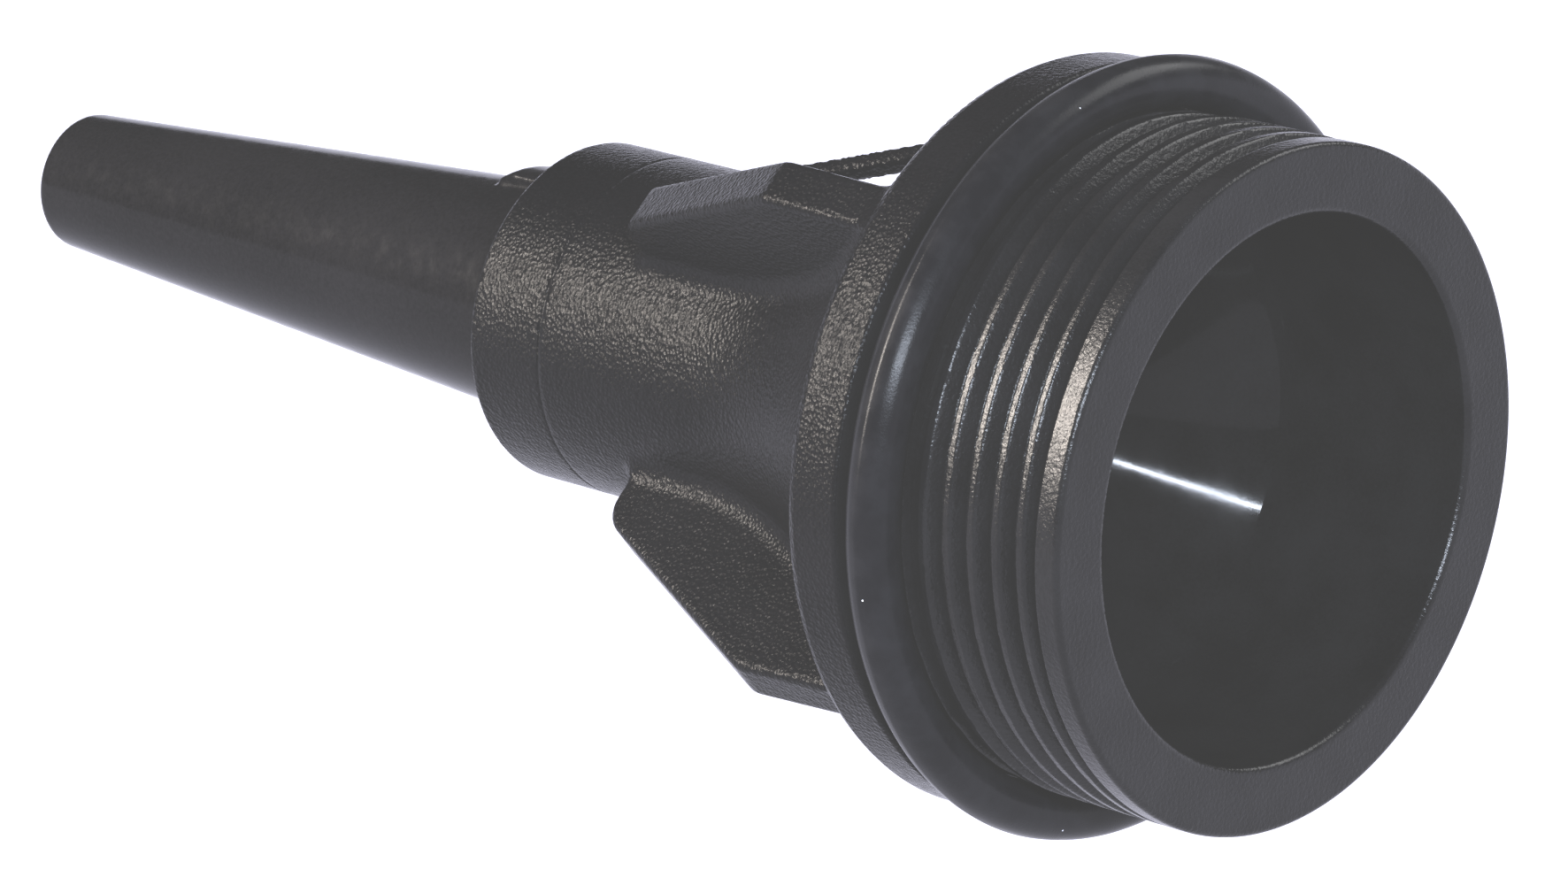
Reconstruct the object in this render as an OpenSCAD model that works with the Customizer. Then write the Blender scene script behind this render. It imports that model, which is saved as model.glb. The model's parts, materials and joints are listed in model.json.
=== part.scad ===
// Pneumatic muffler for an inch-and-a-half port: a winged housing with a threaded, sealed
// port end, a tapered outlet nozzle that plugs into its collar, and the silencing insert.
// The muffler's axis lies along X. The mouth face is at x = 0 and faces +X, and the nozzle
// points along -X. Places along the axis are depths behind the mouth face.

/* [Port] */
// Crest diameter of the male port thread
thread_d = 48.2; // [48:0.1:48.6]
// Distance from one thread crest to the next
thread_pitch = 2.2; // [2.1:0.05:2.25]
// Height of the thread form
thread_h = 1.2; // [1.1:0.05:1.3]
// Width of the flat on each crest
crest_w = 0.5; // [0.3:0.05:0.55]
// Number of full crests behind the end land
crests = 5; // [3:1:5]
// Plain land at the mouth, ahead of the first crest
end_land = 1.9; // [1.5:0.1:2]
// Diameter of the straight inlet bore
bore_d = 38.4; // [37:0.1:39.4]
// Depth of the straight inlet bore
bore_depth = 16.3; // [14:0.1:18]

/* [Port seal] */
// Outer diameter of the seal ring as fitted
seal_d = 55.3; // [54.8:0.1:55.8]
// Section diameter of the seal ring
seal_w = 3.75; // [3.75:0.05:3.9]
// Depth of the seal ring's centre
seal_at = 14.8; // [14.7:0.05:15]

/* [Flange and flare] */
// Diameter of the flange
flange_d = 53.4; // [53:0.1:54.4]
// Depth of the flange's sealing face
flange_front = 17.5; // [17.2:0.1:17.8]
// Depth of the flange's back
flange_back = 22; // [21.5:0.1:22.4]
// Radius of the hollow flare between flange and collar
flare_r = 27.9; // [26:0.1:28.2]
// Depth where the flare runs out into the collar
flare_end = 45.8; // [45.6:0.1:47]

/* [Collar] */
// Diameter of the collar
collar_d = 25.1; // [24.6:0.1:25.6]
// Depth of the collar's rear face
collar_end = 66.5; // [66:0.1:67]
// Depth where the end ring meets the housing
seam_at = 59.6; // [59.2:0.1:60]
// Width of the shadow groove along that joint
seam_w = 0.3; // [0.2:0.05:0.6]

/* [Wings] */
// Number of grip wings round the collar
wings = 4; // [3:1:4]
// Thickness of a wing
wing_t = 3.66; // [3:0.02:4.2]
// Diameter over the wings at the flange
wing_front_d = 49.4; // [47:0.1:51]
// Diameter over the wings at their corners
wing_d = 50.3; // [47:0.1:52]
// Depth of the wings' corners
wing_corner_at = 32.8; // [30:0.1:36]
// Fall of the wings' sloping edges towards the collar, in degrees
wing_fall = 24.2; // [23:0.1:26]
// Depth of the wings' rear ends
wing_end_at = 51.7; // [50:0.1:53]
// Radius of the wings' rear corners
wing_round = 3; // [2:0.1:3.5]
// Radius of the wings' outer corners
wing_corner_r = 2.5; // [1:0.1:4]
// Thickness of the bail on the wing that has a lanyard eye
bail_t = 1.5; // [1.2:0.1:2]
// Depth of the bail's rear end
bail_end_at = 57.5; // [56:0.1:58.5]

/* [Nozzle] */
// Diameter of the nozzle's plug-in end
spigot_d = 17.9; // [17.7:0.1:18.2]
// Diameter of the nozzle's tip
tip_d = 10.5; // [10.2:0.1:11]
// Depth of the nozzle's tip, which is the muffler's length
tip_at = 121.2; // [118:0.1:124]
// Diameter of the outlet bore
outlet_d = 7.2; // [7:0.1:7.4]
// Length of the outlet bore
outlet_len = 8.2; // [6:0.1:9]
// Width of a locating lug
lug_w = 4.4; // [3:0.1:5]
// Diameter over the two lugs
lug_d = 19.2; // [19:0.1:19.8]

/* [Insert] */
// Inner diameter of the perforated core tube
core_d = 6.4; // [6:0.1:6.6]
// Wall of the core tube
core_wall = 0.6; // [0.5:0.05:0.65]
// Diameter of the holes in the core tube
core_hole_d = 1.6; // [1:0.1:1.8]
// Diameter of the throat that holds the inlet screen
throat_d = 18.6; // [18.4:0.1:18.8]
// Diameter of the holes in the inlet screen
screen_hole_d = 1.5; // [1:0.1:1.6]

/* [Hidden] */
$fn = 96;
e = 0.01;            // overlap that joins solids or clears a cut
fit = 0.06;          // radial running clearance of pieces that slide
snug = 0.03;         // clearance between pieces that only touch

// Thread form and seal gland
flank = thread_h * tan(30);
root_r = thread_d / 2 - thread_h;
first_crest = end_land + 1.5;
gland_r = seal_d / 2 - seal_w - 0.1;
gland_front = seal_at - 0.95;

// Flange edge
edge_bevel = [0.8, 0.3];
flare_top_r = flange_d / 2 - 1.4;

// Rounded corners of a wing: the centres of their arcs, as [radius, depth]
wing_rise = atan((wing_d - wing_front_d) / 2 / (wing_corner_at - flange_back));
wing_corner_centre = [wing_d / 2, wing_corner_at]
  - wing_corner_r / cos((wing_fall + wing_rise) / 2)
  * [cos((wing_fall - wing_rise) / 2), sin((wing_fall - wing_rise) / 2)];
wing_end_centre = [
  wing_d / 2 - tan(wing_fall) * (wing_end_at - wing_round - wing_corner_at) - wing_round / cos(wing_fall),
  wing_end_at - wing_round];
corner_steps = 8;

// Lanyard eye of one wing: a window under the wing's sloping edge, which runs on as a bail
bail_w = 1.1;
eye_from = 43.5;
eye_to = bail_end_at - 1.6;
eye_floor_r = collar_d / 2 + 0.9;

// Air way through the housing
throat_from = 27.3;
throat_to = 51;
ledge_t = 1;
ledge_d = throat_d - 2.2;
socket_d = spigot_d + 2 * fit;
socket_from = throat_to + ledge_t;

// End ring, pushed over a short spigot on the housing
seam_depth = 0.2;
ring_seat_d = 22;
ring_seat_len = 3;

// Nozzle seal, in a groove inside the collar
nozzle_seal_w = 1.64;
nozzle_seal_at = 56.2;
nozzle_seal_r = spigot_d / 2 + snug + nozzle_seal_w / 2;

// Nozzle
cone_from = 66.2;
spigot_from = socket_from + 0.3;
lug_from = seam_at + ring_seat_len + 0.4;
lug_flat_to = collar_end + 6.7;
lug_to = collar_end + 7.9;
lug_low_r = lug_d / 2 - 0.6;
chamber_d = 15.2;
chamber_end_d = 8.8;
chamber_to = tip_at - outlet_len - 2;

// Insert inside the nozzle
core_r = core_d / 2 + core_wall;
core_from = 54.4;
core_to = chamber_to + 2;
core_rows = 11;
core_row_pitch = 4.6;
core_row_from = 61;
retainer_at = 54.9;
retainer_t = 1.5;
retainer_web_d = 11.2;
snap_at = 54.4;
snap_w = 1;
snap_gap = 40;

// Screen unit in the throat
carrier_from = 40.6;
carrier_to = 50.6;
carrier_d = 13.2;
screen_t = 0.8;
screen_d = 16.2;
screen_pitch = 2.1;
screen_rings = 3;
screen_seal_w = 1.5;
screen_seal_at = 46;
screen_seal_r = throat_d / 2 - snug - screen_seal_w / 2;

// Stands a piece that is built upwards from its depth on the axis along -X
module lying() rotate([0, -90, 0]) children();

// A round bar or a hole, from one depth to another
module bar(d, from, to, d2 = 0)
  translate([0, 0, from]) cylinder(d1 = d, d2 = d2 > 0 ? d2 : d, h = to - from);

// A seal ring: mean radius, section and depth
module o_ring(mean_r, section, at)
  translate([0, 0, at]) rotate_extrude() translate([mean_r, 0]) circle(d = section, $fn = 48);

// One crest of the port thread
module crest(at)
  rotate_extrude()
    polygon([[root_r - 1, at - crest_w / 2 - flank], [root_r, at - crest_w / 2 - flank],
             [thread_d / 2, at - crest_w / 2], [thread_d / 2, at + crest_w / 2],
             [root_r, at + crest_w / 2 + flank], [root_r - 1, at + crest_w / 2 + flank]]);

// The port end: end land, thread, seal gland and flange
module port_end() {
  bar(2 * root_r, 0, flange_front + e);
  bar(thread_d, 0, end_land);
  bar(thread_d, end_land, end_land + flank, 2 * root_r);
  for (i = [0 : crests - 1]) crest(first_crest + i * thread_pitch);
  bar(2 * gland_r, gland_front, flange_front + e);
  bar(flange_d, flange_front, flange_back - edge_bevel[0]);
  bar(flange_d, flange_back - edge_bevel[0], flange_back, flange_d - 2 * edge_bevel[1]);
}

// Hollow-sided flare that runs from the flange into the collar
module flare()
  difference() {
    bar(2 * flare_top_r, flange_back - e, flare_end);
    translate([0, 0, flare_end]) rotate_extrude() translate([collar_d / 2 + flare_r, 0]) circle(r = flare_r);
  }

// Points along an arc round a centre, from one angle to another
function arc(centre, r, from, to) =
  [for (i = [0 : corner_steps])
    let (a = from + i * (to - from) / corner_steps) centre + r * [cos(a), sin(a)]];

// One grip wing, with its flat outline in the plane of the axis
module wing()
  rotate([90, 0, 0])
    linear_extrude(height = wing_t, center = true)
      polygon(concat(
        [[collar_d / 2 - 2, flange_back - 1], [wing_front_d / 2, flange_back - 1],
         [wing_front_d / 2, flange_back]],
        arc(wing_corner_centre, wing_corner_r, -wing_rise, wing_fall),
        arc(wing_end_centre, wing_round, wing_fall, 90),
        [[collar_d / 2 - 2, wing_end_at]]));

// Radius of the wings' sloping edge at a depth, or of a line below it
function slope_r(at, below = 0) =
  wing_d / 2 - tan(wing_fall) * (at - wing_corner_at) - below / cos(wing_fall);

// The wing with the lanyard eye: a grip wing cut short, and the thin bail behind it
module eye_wing() {
  difference() {
    wing();
    translate([0, 0, eye_from + 50]) cube([200, wing_t + 1, 100], center = true);
  }
  rotate([90, 0, 0])
    translate([0, 0, wing_t / 2 - bail_t])
      linear_extrude(height = bail_t)
        difference() {
          polygon([[collar_d / 2 - 1, eye_from - 1], [slope_r(eye_from - 1), eye_from - 1],
                   [slope_r(bail_end_at), bail_end_at], [collar_d / 2 - 1, bail_end_at]]);
          polygon([[eye_floor_r, eye_from], [slope_r(eye_from, bail_w), eye_from],
                   [slope_r(eye_to, bail_w), eye_to], [eye_floor_r, eye_to]]);
        }
}

module housing()
  color("#26262a") lying()
    difference() {
      union() {
        port_end();
        flare();
        bar(collar_d, flange_back, seam_at - seam_w);
        bar(collar_d - 2 * seam_depth, flange_back, seam_at);
        bar(ring_seat_d, flange_back, seam_at + ring_seat_len);
        rotate([0, 0, 45]) eye_wing();
        for (i = [1 : wings - 1]) rotate([0, 0, 45 + i * 360 / wings]) wing();
      }
      bar(bore_d, -e, bore_depth);
      bar(bore_d, bore_depth - e, throat_from, throat_d);
      bar(throat_d, throat_from - e, throat_to);
      bar(ledge_d, throat_to - e, socket_from + e);
      bar(socket_d, socket_from, collar_end);
      bar(2 * (nozzle_seal_r + nozzle_seal_w / 2 + snug), nozzle_seal_at - 1.1, nozzle_seal_at + 1.1);
    }

module port_seal()
  color("#1b1b1e") lying() o_ring((seal_d - seal_w) / 2, seal_w, seal_at);

// Ring that closes the collar, with a keyway for each nozzle lug
module end_ring()
  color("#26262a") lying()
    difference() {
      bar(collar_d, seam_at, collar_end);
      bar(ring_seat_d, seam_at - e, seam_at + ring_seat_len);
      bar(socket_d, seam_at, collar_end + e);
      translate([0, 0, (seam_at + collar_end) / 2])
        cube([lug_d + 4 * fit, lug_w + 2 * fit, collar_end - seam_at + 1], center = true);
    }

module nozzle_seal()
  color("#1b1b1e") lying() o_ring(nozzle_seal_r, nozzle_seal_w, nozzle_seal_at);

// One locating lug, high where it sits in the end ring and sloping off behind it
module lug()
  rotate([90, 0, 0])
    linear_extrude(height = lug_w, center = true)
      polygon([[chamber_d / 2 + 0.5, lug_from], [lug_d / 2, lug_from], [lug_d / 2, lug_flat_to],
               [lug_low_r, lug_to], [chamber_d / 2 + 0.5, lug_to + 0.5]]);

module nozzle()
  color("#29292d") lying()
    difference() {
      union() {
        bar(spigot_d, spigot_from, cone_from + e);
        bar(spigot_d, cone_from, tip_at, tip_d);
        for (side = [0, 180]) rotate([0, 0, side]) lug();
      }
      bar(chamber_d, spigot_from - e, cone_from);
      bar(chamber_d, cone_from - e, chamber_to, chamber_end_d);
      bar(2 * (core_r + snug), chamber_to - e, core_to);
      bar(outlet_d, core_to - e, tip_at + e);
      bar(chamber_d + 1, snap_at - snap_w / 2, snap_at + snap_w / 2);
    }

// Perforated tube that carries the air through the absorber
module core_tube()
  color("#a9abad") lying()
    difference() {
      bar(2 * core_r, core_from, core_to);
      bar(core_d, core_from - e, core_to + e);
      for (i = [0 : core_rows - 1])
        for (turn = [0, 90])
          translate([0, 0, core_row_from + i * core_row_pitch])
            rotate([90, 0, turn + i % 2 * 45])
              cylinder(d = core_hole_d, h = 4 * core_r, center = true, $fn = 24);
    }

// Felt sleeve that fills the nozzle round the core tube
module absorber()
  color("#d9d4c4") lying()
    difference() {
      union() {
        bar(chamber_d - 2 * snug, retainer_at + retainer_t + snug, cone_from);
        bar(chamber_d - 2 * snug, cone_from - e, chamber_to - 0.1, chamber_end_d - snug);
      }
      bar(2 * (core_r + snug), core_from, core_to);
    }

// Washer that closes the front of the absorber and centres the core tube
module absorber_retainer()
  color("#3a3b3f") lying()
    difference() {
      union() {
        bar(chamber_d - 2 * snug, retainer_at, retainer_at + retainer_t);
        bar(retainer_web_d, retainer_at - 0.5, retainer_at + retainer_t);
      }
      bar(2 * (core_r + snug), retainer_at - 1, retainer_at + retainer_t + 1);
    }

// Open wire ring that holds the retainer in the nozzle
module snap_ring()
  color("#b9bbbd") lying()
    translate([0, 0, snap_at])
      rotate([0, 0, snap_gap / 2])
        rotate_extrude(angle = 360 - snap_gap)
          translate([chamber_d / 2, 0]) circle(d = snap_w - 2 * snug, $fn = 24);

// Plug-in ring that holds the inlet screen in the throat
module screen_carrier()
  color("#3a3b3f") lying()
    difference() {
      bar(throat_d - 2 * fit, carrier_from, carrier_to);
      bar(carrier_d, carrier_from - e, carrier_to + e);
      bar(screen_d + 2 * snug, carrier_from - e, carrier_from + screen_t + 0.2);
      difference() {
        bar(throat_d + 1, screen_seal_at - 0.95, screen_seal_at + 0.95);
        bar(2 * (screen_seal_r - screen_seal_w / 2 - snug), carrier_from, carrier_to);
      }
    }

// Perforated disc across the inlet, with its holes in rings round the centre
module inlet_screen()
  color("#b4b6b8") lying()
    difference() {
      bar(screen_d, carrier_from + 0.2, carrier_from + 0.2 + screen_t);
      bar(screen_hole_d, carrier_from - 1, carrier_from + screen_t + 1);
      for (ring = [1 : screen_rings], i = [0 : 6 * ring - 1])
        rotate([0, 0, i * 60 / ring]) translate([ring * screen_pitch, 0, 0])
          bar(screen_hole_d, carrier_from - 1, carrier_from + screen_t + 1, $fn = 24);
    }

module screen_seal()
  color("#1b1b1e") lying() o_ring(screen_seal_r, screen_seal_w, screen_seal_at);

housing();
port_seal();
end_ring();
nozzle_seal();
nozzle();
core_tube();
absorber();
absorber_retainer();
snap_ring();
screen_carrier();
inlet_screen();
screen_seal();
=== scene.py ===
"""Looks for the pneumatic muffler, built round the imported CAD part.

The muffler's axis lies along X: the mouth is at x = 0 and faces +X, the nozzle points along -X.
Shapes are worked out in millimetres as (depth behind the mouth, radius, angle); the angle is
measured from +Z towards -Y. Blender's own metres come in at the end, in to_world().
"""

import json
import math

import bmesh
import bpy
import numpy as np
from mathutils import Matrix, Vector

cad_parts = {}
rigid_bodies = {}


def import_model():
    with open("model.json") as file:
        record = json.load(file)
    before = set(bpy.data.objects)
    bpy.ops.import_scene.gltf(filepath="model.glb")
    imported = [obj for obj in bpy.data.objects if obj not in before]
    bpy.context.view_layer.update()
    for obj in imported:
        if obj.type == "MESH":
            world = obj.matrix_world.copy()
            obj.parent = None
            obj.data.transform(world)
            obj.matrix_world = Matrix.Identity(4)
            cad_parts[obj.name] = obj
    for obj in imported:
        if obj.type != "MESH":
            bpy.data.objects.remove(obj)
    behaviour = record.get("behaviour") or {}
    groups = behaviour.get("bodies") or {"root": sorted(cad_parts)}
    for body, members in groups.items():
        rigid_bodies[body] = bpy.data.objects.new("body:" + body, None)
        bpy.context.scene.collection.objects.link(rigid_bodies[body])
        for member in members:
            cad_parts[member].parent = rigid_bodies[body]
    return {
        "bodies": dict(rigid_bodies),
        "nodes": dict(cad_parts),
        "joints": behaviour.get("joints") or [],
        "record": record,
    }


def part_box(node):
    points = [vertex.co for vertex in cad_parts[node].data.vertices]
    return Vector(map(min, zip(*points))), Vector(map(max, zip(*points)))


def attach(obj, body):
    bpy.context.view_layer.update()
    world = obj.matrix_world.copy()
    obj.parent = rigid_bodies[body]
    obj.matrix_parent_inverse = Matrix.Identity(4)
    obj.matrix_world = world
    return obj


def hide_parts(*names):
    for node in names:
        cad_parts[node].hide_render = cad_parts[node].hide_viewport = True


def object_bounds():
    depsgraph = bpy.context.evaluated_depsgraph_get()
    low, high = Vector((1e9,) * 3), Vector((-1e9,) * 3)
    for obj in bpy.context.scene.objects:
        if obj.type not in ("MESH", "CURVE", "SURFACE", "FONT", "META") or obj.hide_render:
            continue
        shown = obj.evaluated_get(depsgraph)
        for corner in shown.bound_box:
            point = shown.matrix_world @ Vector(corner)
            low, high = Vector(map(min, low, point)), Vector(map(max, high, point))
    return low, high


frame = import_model()
cad_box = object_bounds()

MM = 0.001

# ---------------------------------------------------------------- sizes, in millimetres


def node_size(node):
    """(lowest depth, highest depth, outer radius) of a CAD node"""
    low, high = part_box(node)
    return -high.x / MM, -low.x / MM, high.z / MM


SEAL_FRONT, SEAL_BACK, SEAL_R = node_size("port_seal")
RING_FRONT, COLLAR_END, COLLAR_R = node_size("end_ring")
SPIGOT_FROM, TIP_AT, LUG_R = node_size("nozzle")
FELT_FROM, FELT_TO, FELT_R = node_size("absorber")

MOUNTS = {m["name"]: m for m in frame["record"]["mounts"]}
CREST_R = MOUNTS["port_thread"]["dims"]["r_mm"]
BORE_R = MOUNTS["inlet_bore"]["dims"]["r_mm"]
BORE_DEPTH = MOUNTS["inlet_bore"]["dims"]["length_mm"]
OUTLET_R = MOUNTS["outlet_bore"]["dims"]["r_mm"]

# Port thread: a right-handed helix behind a plain land
PITCH = 2.19
THREAD_H = 1.2
ROOT_R = CREST_R - THREAD_H
CREST_HALF = 0.29
FLANK = THREAD_H * math.tan(math.radians(29))
FIRST_CREST = 3.42
CREST_ANGLE = 70.0
LAND_END = 1.9
RUN_OUT = (12.5, 13.2)
EDGE_SOFT, LAND_SOFT = 0.03, 0.05
MOUTH_CHAMFER = 0.4
BORE_EDGE = 0.5

# Gland, flange and the hollow flare behind it
GLAND_FROM = 13.85
GLAND_R = 23.8
GLAND_ROOT = 0.2
LIP_H, LIP_AT, LIP_HALF, LIP_RAGGED = 0.06, 0.12, 0.06, 0.05
FLANGE_FRONT, FLANGE_BAND_END, FLANGE_BACK = 17.5, 21.2, 22.0
FLANGE_R, FLANGE_BACK_R = 26.7, 26.4
FLANGE_FRONT_EDGE, FLANGE_BACK_EDGE, FLANGE_FOOT = 0.3, 0.25, 0.35
FLARE_TOP_R, FLARE_ARC, FLARE_END, FLARE_EDGE = 25.3, 27.9, 45.8, 0.3

# Wings
WING_HALF = 1.83
WING_OUTLINE = ((20.0, 24.6), (32.8, 25.15), (51.7, 16.66), (51.7, 9.0), (20.0, 9.0))
WING_CORNER = 2.8
WING_EDGE = 0.5
WING_ROOT = 1.5
WING_CORNER_AT, WING_CORNER_R = WING_OUTLINE[1]
WING_FALL = math.tan(math.radians(24.2))

# The far upper wing has a lanyard eye: past EYE_FROM only a thin bail is left, at its upper face
EYE_FROM, EYE_TO, BAIL_END, EYE_FLOOR_R = 43.5, 55.9, 57.5, 13.45
BAIL_T, BAIL_W, BAIL_EDGE = 1.5, 1.35, 0.2

# Air way and collar
FUNNEL_END, FUNNEL_SOFT, THROAT_R = 27.3, 0.4, 9.3
THROAT_END, SOCKET_FROM, LEDGE_R = 51.0, 52.0, 8.2
LINER_T = 0.6
SOCKET_R = 9.01
COLLAR_SPLIT = 58.5
COLLAR_CORE_R = 11.6
SEAM_W, SEAM_DEPTH, SEAM_LIP = 0.12, 0.05, 0.03
RING_SEAT_R, RING_SEAT_LEN = 11.0, 3.0
RING_EDGE, RING_HOLE_EDGE = 0.35, 0.12
COLLAR_EDGE = 0.12
SEAL_GROOVE = (55.1, 57.3, 10.66)

# Nozzle
SPIGOT_R = 8.95
CONE_FROM, TIP_R = 66.2, 5.25
CHAMBER_R, CHAMBER_END_R, CHAMBER_TO = 7.6, 4.4, 111.0
CORE_SEAT_R, CORE_TO = 3.83, 113.0
SNAP_GROOVE = (53.9, 54.9, 8.1)
TIP_EDGE, SPIGOT_EDGE, HOLE_EDGE = 0.55, 0.5, 0.25
LUG_HALF, LUG_EDGE, LUG_ROOT = 2.2, 0.25, 0.35
LUG_OUTLINE = ((63.0, 9.6), (73.2, 9.6), (74.4, 9.0), (74.9, 7.9), (63.0, 7.9))
LUG_SIDE_GAP, LUG_TOP_GAP = 0.06, 0.12
FELT_INSET, FELT_BUMP = 0.12, 0.035

# Mesh fineness: columns round the axis, and the spacing of the rest
PORT_COLUMNS, COLLAR_COLUMNS, SEAL_COLUMNS, SEAL_ROWS, FELT_COLUMNS = 540, 240, 360, 72, 144
THREAD_STEP, FACE_STEP = 0.095, 0.6
GRIP_CELL, NOZZLE_CELL, END_RING_CELL = 0.34, 0.27, 0.22

# ---------------------------------------------------------------- mesh helpers


def to_world(depth, r, angle):
    """Blender coordinates, in metres, of (depth, radius, angle in degrees)"""
    a = np.radians(angle)
    return np.stack(np.broadcast_arrays(-depth, -r * np.sin(a), r * np.cos(a)), axis=-1) * MM


def add_piece(name, verts, faces, body, node, slot, materials, sharp=35.0, pick=None):
    """A mesh piece that rides on a body and stands for a CAD node.
    pick(centres) gives each face's material number."""
    mesh = bpy.data.meshes.new(name)
    mesh.from_pydata(verts.tolist(), [], [list(f) for f in faces])
    bm = bmesh.new()
    bm.from_mesh(mesh)
    bmesh.ops.recalc_face_normals(bm, faces=bm.faces)
    bm.to_mesh(mesh)
    bm.free()
    mesh.shade_smooth()
    mesh.set_sharp_from_angle(angle=math.radians(sharp))
    for m in materials:
        mesh.materials.append(m)
    if pick is not None:
        centres = np.empty(len(mesh.polygons) * 3)
        mesh.polygons.foreach_get("center", centres)
        mesh.polygons.foreach_set("material_index", pick(centres.reshape(-1, 3) / MM).astype(np.int32))
    piece = bpy.data.objects.new(name, mesh)
    bpy.context.scene.collection.objects.link(piece)
    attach(piece, body)
    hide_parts(node)
    return piece


def ring_faces(rows, columns, first=0):
    """Quads of a grid that closes on itself both ways"""
    i, j = np.meshgrid(np.arange(rows), np.arange(columns), indexing="ij")
    i2, j2 = (i + 1) % rows, (j + 1) % columns
    quads = np.stack([i * columns + j, i * columns + j2, i2 * columns + j2, i2 * columns + j], axis=-1)
    return quads.reshape(-1, 4) + first


def lathe(profile, columns, radius=None):
    """Verts and faces of a closed profile [(depth, r), ...] turned round the axis.
    radius(depth, r, angle) may change the radii."""
    profile = np.asarray(profile, float)
    angle = np.arange(columns) * 360.0 / columns
    depth = np.repeat(profile[:, :1], columns, axis=1)
    r = np.repeat(profile[:, 1:2], columns, axis=1)
    if radius is not None:
        r = radius(depth, r, angle[None, :])
    return to_world(depth, r, angle[None, :]).reshape(-1, 3), ring_faces(len(profile), columns)


def join(*parts):
    """One (verts, faces) from several closed shells"""
    verts, faces, first = [], [], 0
    for v, f in parts:
        verts.append(v)
        faces.extend([[int(k) + first for k in face] for face in f])
        first += len(v)
    return np.concatenate(verts), faces


def steps(a, b, size):
    """Evenly spaced values from a to b, about size apart, both ends included"""
    return np.linspace(a, b, max(2, int(round(abs(b - a) / size)) + 1))


def fillet(corner, before, after, radius, count=5):
    """Points of a rounded corner between two straight runs of a profile"""
    corner, before, after = (np.asarray(p, float) for p in (corner, before, after))
    a = (before - corner) / np.linalg.norm(before - corner)
    b = (after - corner) / np.linalg.norm(after - corner)
    half = math.acos(float(np.clip(a @ b, -1, 1))) / 2
    reach = radius / math.tan(half)
    centre = corner + (a + b) / np.linalg.norm(a + b) * radius / math.sin(half)
    p, q = corner + a * reach - centre, corner + b * reach - centre
    turn = math.pi - 2 * half
    points = []
    for t in np.linspace(0, 1, count):
        points.append(centre + (np.sin((1 - t) * turn) * p + np.sin(t * turn) * q) / math.sin(turn))
    return [tuple(x) for x in points]


# ---------------------------------------------------------------- distance fields


def soft_max(a, b, k):
    return (a + b + np.sqrt((a - b) ** 2 + k * k)) / 2


def soft_min(a, b, k):
    return -soft_max(-a, -b, k)


def round_both(a, b, r):
    """Intersection of two fields, its edge rounded to radius r"""
    a, b = a + r, b + r
    return np.hypot(np.maximum(a, 0), np.maximum(b, 0)) + np.minimum(np.maximum(a, b), 0) - r


def fillet_both(a, b, r):
    """Union of two fields, with a fillet of radius r where they meet"""
    return np.maximum(r, np.minimum(a, b)) - np.hypot(np.maximum(r - a, 0), np.maximum(r - b, 0))


def polygon_field(x, y, points, corner):
    """Signed distance to a convex polygon whose corners are rounded to a radius"""
    points = np.asarray(points, float)
    centre = points.mean(axis=0)
    lines = []
    for p, q in zip(points, np.roll(points, -1, axis=0)):
        normal = np.array([q[1] - p[1], p[0] - q[0]]) / np.linalg.norm(q - p)
        if normal @ (p - centre) < 0:
            normal = -normal
        lines.append((normal, normal @ p - corner))
    shrunk = []
    for (n1, c1), (n2, c2) in zip(lines, lines[-1:] + lines[:-1]):
        shrunk.append(np.linalg.solve(np.array([n1, n2]), np.array([c1, c2])))
    inside = np.max([n[0] * x + n[1] * y - c for n, c in lines], axis=0)
    outside = np.full(np.shape(x), np.inf)
    for p, q in zip(shrunk, shrunk[1:] + shrunk[:1]):
        e = q - p
        t = np.clip(((x - p[0]) * e[0] + (y - p[1]) * e[1]) / (e @ e), 0, 1)
        outside = np.minimum(outside, np.hypot(x - p[0] - t * e[0], y - p[1] - t * e[1]))
    return np.where(inside > 0, outside, inside) - corner


def tube(d, r, start, end, radius):
    """Field of a plain round bar"""
    return np.maximum(r - radius, np.maximum(start - d, d - end))


CORNERS = np.array([[i, j, k] for i in (0, 1) for j in (0, 1) for k in (0, 1)])
EDGES = [(a, b) for a in range(8) for b in range(a + 1, 8) if np.abs(CORNERS[a] - CORNERS[b]).sum() == 1]


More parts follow.
